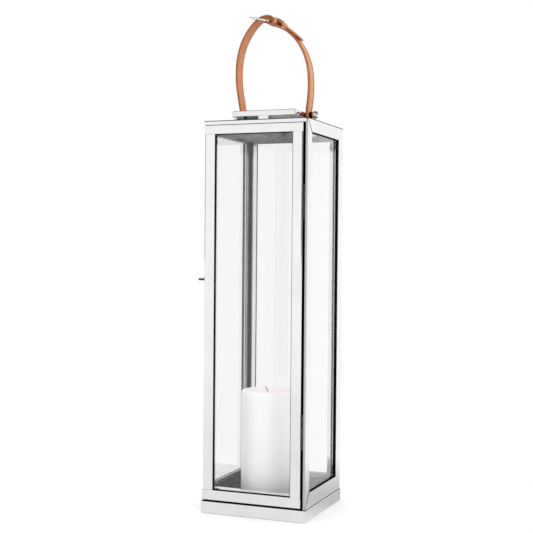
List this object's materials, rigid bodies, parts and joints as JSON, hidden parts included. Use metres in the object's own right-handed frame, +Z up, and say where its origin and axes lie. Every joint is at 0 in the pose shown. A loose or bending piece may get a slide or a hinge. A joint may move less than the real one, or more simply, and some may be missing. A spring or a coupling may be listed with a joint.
{
  "type": "candle lantern",
  "caption": "Tall square polished steel candle lantern with glazed sides, a hinged glass door with a turn latch, a raised vent cap and a buckled tan leather handle",
  "frame": {"origin": "centre of the base at ground level, below the axis of the square body", "axes": "+Z up, the door faces -Y, +X to the right of someone facing the door"},
  "size_m": [0.216, 0.205, 0.93],
  "materials": {
    "polished_steel": "mirror-polished stainless steel, fine handling marks",
    "satin_steel": "satin stainless steel",
    "dark_steel": "blackened steel, faint rubbed marks",
    "clear_glass": "clear flat glass, three millimetres",
    "tan_leather": "vegetable-tanned tan leather, burnished edges, creased border",
    "black_strip": "matt black rubber",
    "candle_wax": "white paraffin wax, soft sheen",
    "wick_cotton": "braided cotton, charred",
    "fibreboard": "raw fibreboard",
    "felt": "grey felt"
  },
  "bodies": {
    "body": {"base_plinth": "polished_steel", "base_core": "fibreboard", "base_felt": "felt", "floor_plate": "dark_steel", "left_front_post": "polished_steel", "left_rear_post": "polished_steel", "left_top_rail": "polished_steel", "left_bottom_rail": "polished_steel", "right_front_post": "polished_steel", "right_rear_post": "polished_steel", "right_top_rail": "polished_steel", "right_bottom_rail": "polished_steel", "back_left_post": "polished_steel", "back_right_post": "polished_steel", "back_top_rail": "polished_steel", "back_bottom_rail": "polished_steel", "header_rail": "polished_steel", "front_sill": "polished_steel", "threshold_strip": "black_strip", "hinge_side_stop": "black_strip", "left_glass": "clear_glass", "right_glass": "clear_glass", "back_glass": "clear_glass", "glazing_seals": "black_strip", "glazing_beads": "polished_steel", "roof_plate": "polished_steel", "roof_liner": "dark_steel", "cap_cover": "polished_steel", "cap_legs": "polished_steel", "handle_bolts": "satin_steel", "handle_spacers": "black_strip", "handle_washers": "black_strip", "ball_nuts": "polished_steel", "cap_nuts": "satin_steel", "catch_pin": "satin_steel", "hinge_post_leaves": "dark_steel", "hinge_pins": "dark_steel", "hinge_post_screws": "dark_steel"},
    "door": {"door_left_stile": "polished_steel", "door_right_stile": "polished_steel", "door_top_rail": "polished_steel", "door_bottom_rail": "polished_steel", "door_glass": "clear_glass", "door_seal": "black_strip", "door_bead": "satin_steel", "hinge_door_leaves": "dark_steel", "hinge_door_screws": "dark_steel"},
    "latch": {"latch_knob": "dark_steel", "latch_claw": "satin_steel"},
    "handle": {"strap_long": "tan_leather", "strap_short": "tan_leather", "keeper_loop": "tan_leather", "buckle_frame": "polished_steel", "buckle_prong": "polished_steel"},
    "candle_body": {"candle": "candle_wax", "wick": "wick_cotton"}
  },
  "joints": [
    {"name": "door_swing", "type": "hinge", "parent": "body", "child": "door", "pos_m": [0.0946, -0.0993, 0.37], "axis": [0, 0, 1], "range_deg": [0, 105]},
    {"name": "latch_turn", "type": "hinge", "parent": "door", "child": "latch", "pos_m": [-0.101, -0.0945, 0.432], "axis": [1, 0, 0], "range_deg": [0, 75]},
    {"name": "handle_swing", "type": "hinge", "parent": "body", "child": "handle", "pos_m": [0, 0, 0.7396], "axis": [1, 0, 0], "range_deg": [-90, 90]},
    {"name": "candle_lift", "type": "slide", "parent": "body", "child": "candle_body", "axis": [0, 0, 1], "range_m": [0, 0.25]}
  ]
}
